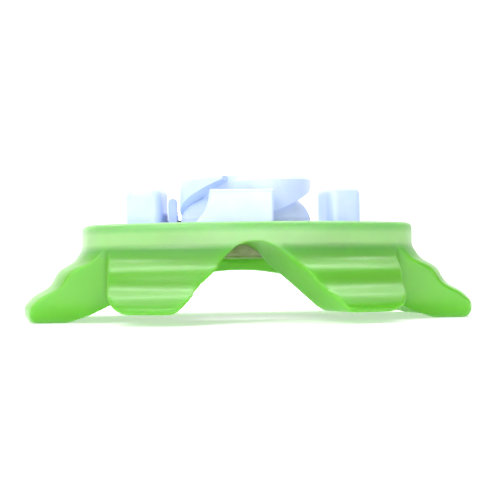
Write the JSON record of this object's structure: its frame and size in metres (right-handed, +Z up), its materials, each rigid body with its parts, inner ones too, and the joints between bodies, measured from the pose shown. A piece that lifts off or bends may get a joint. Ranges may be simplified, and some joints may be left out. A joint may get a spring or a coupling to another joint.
{
  "type": "airway tube holder",
  "caption": "Face-mounted airway tube holder with a soft flapped cushion, a rigid top plate and a twist collar that closes sliding jaws on the tube.",
  "frame": {"origin": "on the tube bore's axis, level with the side flaps' feet", "axes": "+X to the wearer-side right post, +Y to the back arch, +Z up through the collar"},
  "size_m": [0.0974, 0.079, 0.0308],
  "materials": {
    "soft_green": "translucent satin elastomer",
    "white_plastic": "fine moulded satin",
    "white_gloss": "smooth moulded",
    "jaw_plastic": "satin",
    "pad_silicone": "soft matte",
    "clear_silicone": "soft satin",
    "shoe_rubber": "matte",
    "steel": "bright"
  },
  "bodies": {
    "base": {"face_cushion": "soft_green", "base_plate": "white_plastic", "backing_ring": "white_plastic", "backing_screws": "steel", "tube_guide": "clear_silicone", "keeper_ring": "white_plastic", "keeper_screws": "steel", "strap_post_left": "white_plastic", "strap_post_right": "white_plastic", "thumb_block": "white_plastic", "lever_pin": "steel", "lever_spring": "steel"},
    "collar": {"lock_collar": "white_gloss"},
    "lever": {"lock_lever": "white_gloss", "lever_shoe": "shoe_rubber"},
    "jaw_slide_1": {"jaw_1": "jaw_plastic", "jaw_pin_1": "steel", "jaw_pad_1": "pad_silicone"},
    "jaw_slide_2": {"jaw_2": "jaw_plastic", "jaw_pin_2": "steel", "jaw_pad_2": "pad_silicone"},
    "jaw_slide_3": {"jaw_3": "jaw_plastic", "jaw_pin_3": "steel", "jaw_pad_3": "pad_silicone"}
  },
  "joints": [
    {"name": "collar_turn", "type": "hinge", "parent": "base", "child": "collar", "pos_m": [0, 0, 0.0247], "axis": [0, 0, 1], "range_deg": [0, 74.5]},
    {"name": "jaw_1_slide", "type": "slide", "parent": "base", "child": "jaw_slide_1", "axis": [-0.866, -0.5, 0], "range_m": [0, 0.0033]},
    {"name": "jaw_2_slide", "type": "slide", "parent": "base", "child": "jaw_slide_2", "axis": [0.866, -0.5, 0], "range_m": [0, 0.0033]},
    {"name": "jaw_3_slide", "type": "slide", "parent": "base", "child": "jaw_slide_3", "axis": [0, 1, 0], "range_m": [0, 0.0033]},
    {"name": "lever_swing", "type": "hinge", "parent": "base", "child": "lever", "pos_m": [-0.0159, 0.0132, 0.022], "axis": [0, 0, -1], "range_deg": [0, 3], "stiffness_Nm_per_rad": 0.02, "springref_deg": -5.73, "deforming": ["lever_spring"]}
  ],
  "couplings": [
    {"joint": "jaw_1_slide", "follows": "collar_turn", "m_per_rad": 0.002521},
    {"joint": "jaw_2_slide", "follows": "collar_turn", "m_per_rad": 0.002521},
    {"joint": "jaw_3_slide", "follows": "collar_turn", "m_per_rad": 0.002521}
  ]
}
